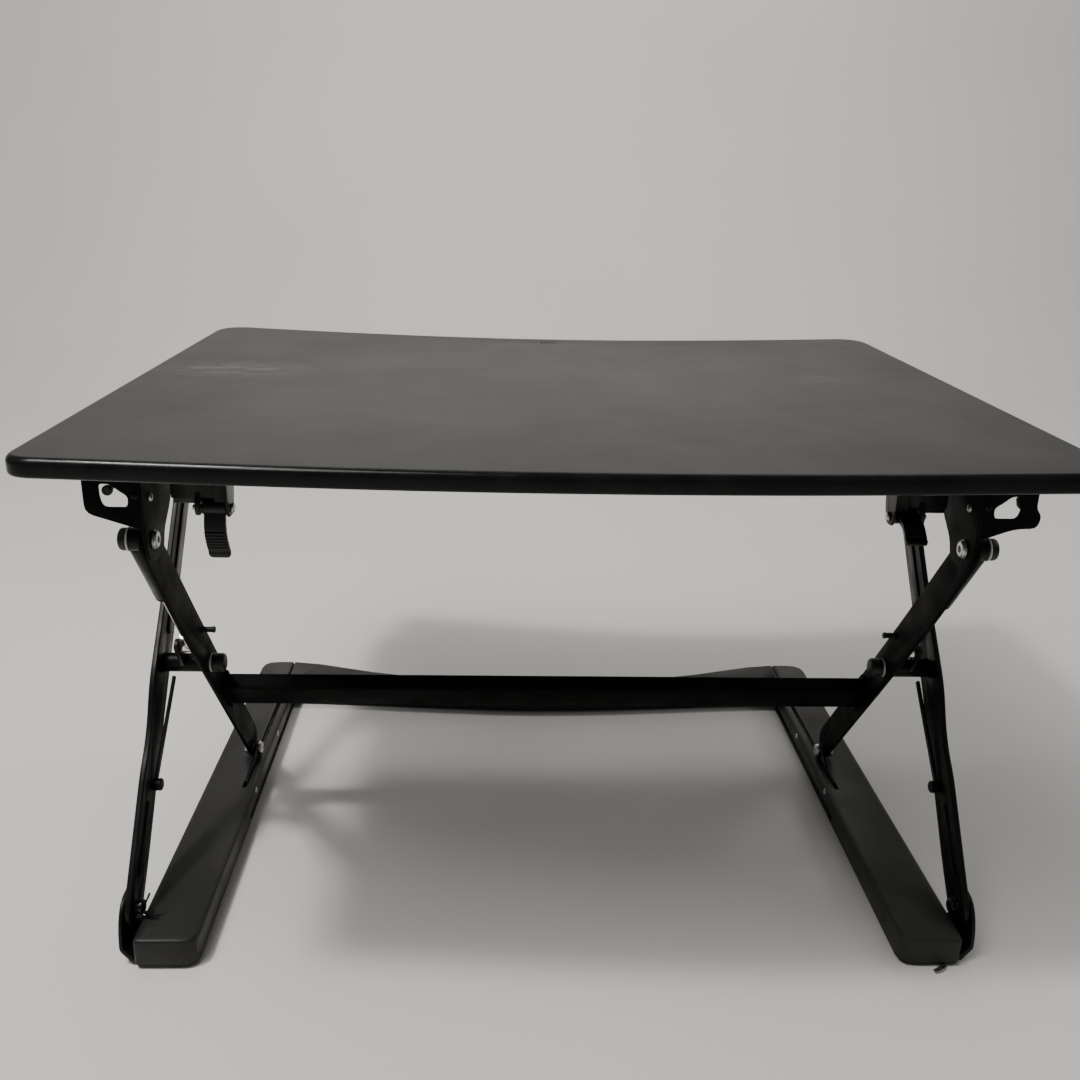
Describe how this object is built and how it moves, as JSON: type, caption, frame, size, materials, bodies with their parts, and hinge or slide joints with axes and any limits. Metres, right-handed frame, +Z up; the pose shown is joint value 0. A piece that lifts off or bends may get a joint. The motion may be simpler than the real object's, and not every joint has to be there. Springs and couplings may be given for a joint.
{
  "type": "standing desk converter",
  "caption": "Height-adjustable desktop riser: a bowed board on crossed side arms with gas springs, hand levers and a low U-shaped base.",
  "frame": {"origin": "middle of the footprint of the whole converter, on the surface it stands on", "axes": "+X to the right as seen by the user, +Y to the rear, +Z up"},
  "size_m": [0.8, 0.681, 0.5],
  "materials": {
    "board_foil": "matt foil over fibreboard",
    "black_steel": "gloss black powder coat",
    "zinc_steel": "bright zinc plate",
    "nickel_steel": "ground bright",
    "cover_plastic": "fine grained moulding",
    "black_plastic": "satin moulding",
    "foot_rubber": "matt"
  },
  "bodies": {
    "base": {"base_rail_left": "black_steel", "base_rail_right": "black_steel", "rail_cover_left": "cover_plastic", "rail_cover_right": "cover_plastic", "track_left": "zinc_steel", "track_right": "zinc_steel", "foot_front_left": "foot_rubber", "foot_front_right": "foot_rubber", "foot_rear_left": "foot_rubber", "foot_rear_right": "foot_rubber", "base_pivot_bolt_left": "zinc_steel", "base_pivot_bolt_right": "zinc_steel", "rear_cross_cover": "cover_plastic", "rear_cross_plate": "black_steel"},
    "outer_arm_left": {"outer_arm_left": "black_steel", "arm_stay_left": "black_steel", "centre_tube_left": "black_steel", "centre_bolt_left": "zinc_steel", "top_shoe_bolt_left": "zinc_steel"},
    "outer_arm_right": {"outer_arm_right": "black_steel", "arm_stay_right": "black_steel", "centre_tube_right": "black_steel", "centre_bolt_right": "zinc_steel", "top_shoe_bolt_right": "zinc_steel"},
    "inner_frame": {"inner_arm_left": "black_steel", "inner_arm_right": "black_steel", "cross_bar_end_left": "black_steel", "cross_bar_end_right": "black_steel", "cable_peg_left": "black_plastic", "cable_peg_right": "black_plastic", "cross_bar": "black_steel"},
    "desktop": {"desktop_board": "board_foil", "rear_plug": "black_plastic", "front_bracket_left": "black_steel", "front_bracket_right": "black_steel", "shelf_bracket_left": "black_steel", "shelf_bracket_right": "black_steel", "lever_bracket_left": "zinc_steel", "lever_bracket_right": "zinc_steel", "lever_housing_left": "black_plastic", "lever_housing_right": "black_plastic", "lever_pin_left": "zinc_steel", "lever_pin_right": "zinc_steel", "top_rail_left": "black_steel", "top_rail_right": "black_steel", "upper_pivot_bolt_left": "zinc_steel", "upper_pivot_bolt_right": "zinc_steel"},
    "carriage_left": {"carriage_left": "black_steel", "carriage_bolt_left": "zinc_steel"},
    "carriage_right": {"carriage_right": "black_steel", "carriage_bolt_right": "zinc_steel"},
    "top_shoe_left": {"top_shoe_left": "black_plastic"},
    "top_shoe_right": {"top_shoe_right": "black_plastic"},
    "gas_cylinder_left": {"gas_cylinder_left": "black_steel"},
    "gas_cylinder_right": {"gas_cylinder_right": "black_steel"},
    "gas_rod_left": {"gas_rod_left": "nickel_steel"},
    "gas_rod_right": {"gas_rod_right": "nickel_steel"},
    "lever_left": {"lever_left": "black_plastic"},
    "lever_right": {"lever_right": "black_plastic"}
  },
  "joints": [
    {"name": "lift", "type": "hinge", "parent": "base", "child": "outer_arm_left", "pos_m": [0, -0.2025, 0.041], "axis": [1, 0, 0], "range_deg": [-48.26, 0]},
    {"name": "lift_right", "type": "hinge", "parent": "base", "child": "outer_arm_right", "pos_m": [0, -0.2025, 0.041], "axis": [1, 0, 0], "range_deg": [-48.26, 0]},
    {"name": "scissor", "type": "hinge", "parent": "outer_arm_left", "child": "inner_frame", "pos_m": [0, -0.058, 0.221], "axis": [1, 0, 0], "range_deg": [0, 96.52]},
    {"name": "desktop_level", "type": "hinge", "parent": "inner_frame", "child": "desktop", "pos_m": [0, -0.2025, 0.401], "axis": [1, 0, 0], "range_deg": [-48.26, 0]},
    {"name": "carriage_left_pivot", "type": "hinge", "parent": "inner_frame", "child": "carriage_left", "pos_m": [0, 0.0865, 0.041], "axis": [1, 0, 0], "range_deg": [-48.26, 0]},
    {"name": "top_shoe_left_pivot", "type": "hinge", "parent": "outer_arm_left", "child": "top_shoe_left", "pos_m": [0, 0.0865, 0.401], "axis": [1, 0, 0], "range_deg": [0, 48.26]},
    {"name": "gas_spring_left_pivot", "type": "hinge", "parent": "inner_frame", "child": "gas_cylinder_left", "pos_m": [0, -0.2025, 0.401], "axis": [1, 0, 0], "range_deg": [0, 8.61]},
    {"name": "gas_rod_left_slide", "type": "slide", "parent": "gas_cylinder_left", "child": "gas_rod_left", "axis": [0, 0.626, -0.7798], "range_m": [0, 0.0426]},
    {"name": "carriage_right_pivot", "type": "hinge", "parent": "inner_frame", "child": "carriage_right", "pos_m": [0, 0.0865, 0.041], "axis": [1, 0, 0], "range_deg": [-48.26, 0]},
    {"name": "top_shoe_right_pivot", "type": "hinge", "parent": "outer_arm_right", "child": "top_shoe_right", "pos_m": [0, 0.0865, 0.401], "axis": [1, 0, 0], "range_deg": [0, 48.26]},
    {"name": "gas_spring_right_pivot", "type": "hinge", "parent": "inner_frame", "child": "gas_cylinder_right", "pos_m": [0, -0.2025, 0.401], "axis": [1, 0, 0], "range_deg": [0, 8.61]},
    {"name": "gas_rod_right_slide", "type": "slide", "parent": "gas_cylinder_right", "child": "gas_rod_right", "axis": [0, 0.626, -0.7798], "range_m": [0, 0.0426]},
    {"name": "lever_left_swing", "type": "hinge", "parent": "desktop", "child": "lever_left", "pos_m": [0, -0.1805, 0.422], "axis": [1, 0, 0], "range_deg": [-70, 0]},
    {"name": "lever_right_swing", "type": "hinge", "parent": "desktop", "child": "lever_right", "pos_m": [0, -0.1805, 0.422], "axis": [1, 0, 0], "range_deg": [0, 70]}
  ],
  "couplings": [
    {"joint": "lift_right", "follows": "lift", "ratio": 1},
    {"joint": "scissor", "follows": "lift", "ratio": -2},
    {"joint": "desktop_level", "follows": "lift", "ratio": 1},
    {"joint": "carriage_left_pivot", "follows": "lift", "ratio": 1},
    {"joint": "top_shoe_left_pivot", "follows": "lift", "ratio": -1},
    {"joint": "gas_spring_left_pivot", "follows": "lift", "ratio": -0.1783},
    {"joint": "gas_rod_left_slide", "follows": "lift", "m_per_rad": -0.0505},
    {"joint": "carriage_right_pivot", "follows": "lift", "ratio": 1},
    {"joint": "top_shoe_right_pivot", "follows": "lift", "ratio": -1},
    {"joint": "gas_spring_right_pivot", "follows": "lift", "ratio": -0.1783},
    {"joint": "gas_rod_right_slide", "follows": "lift", "m_per_rad": -0.0505}
  ]
}
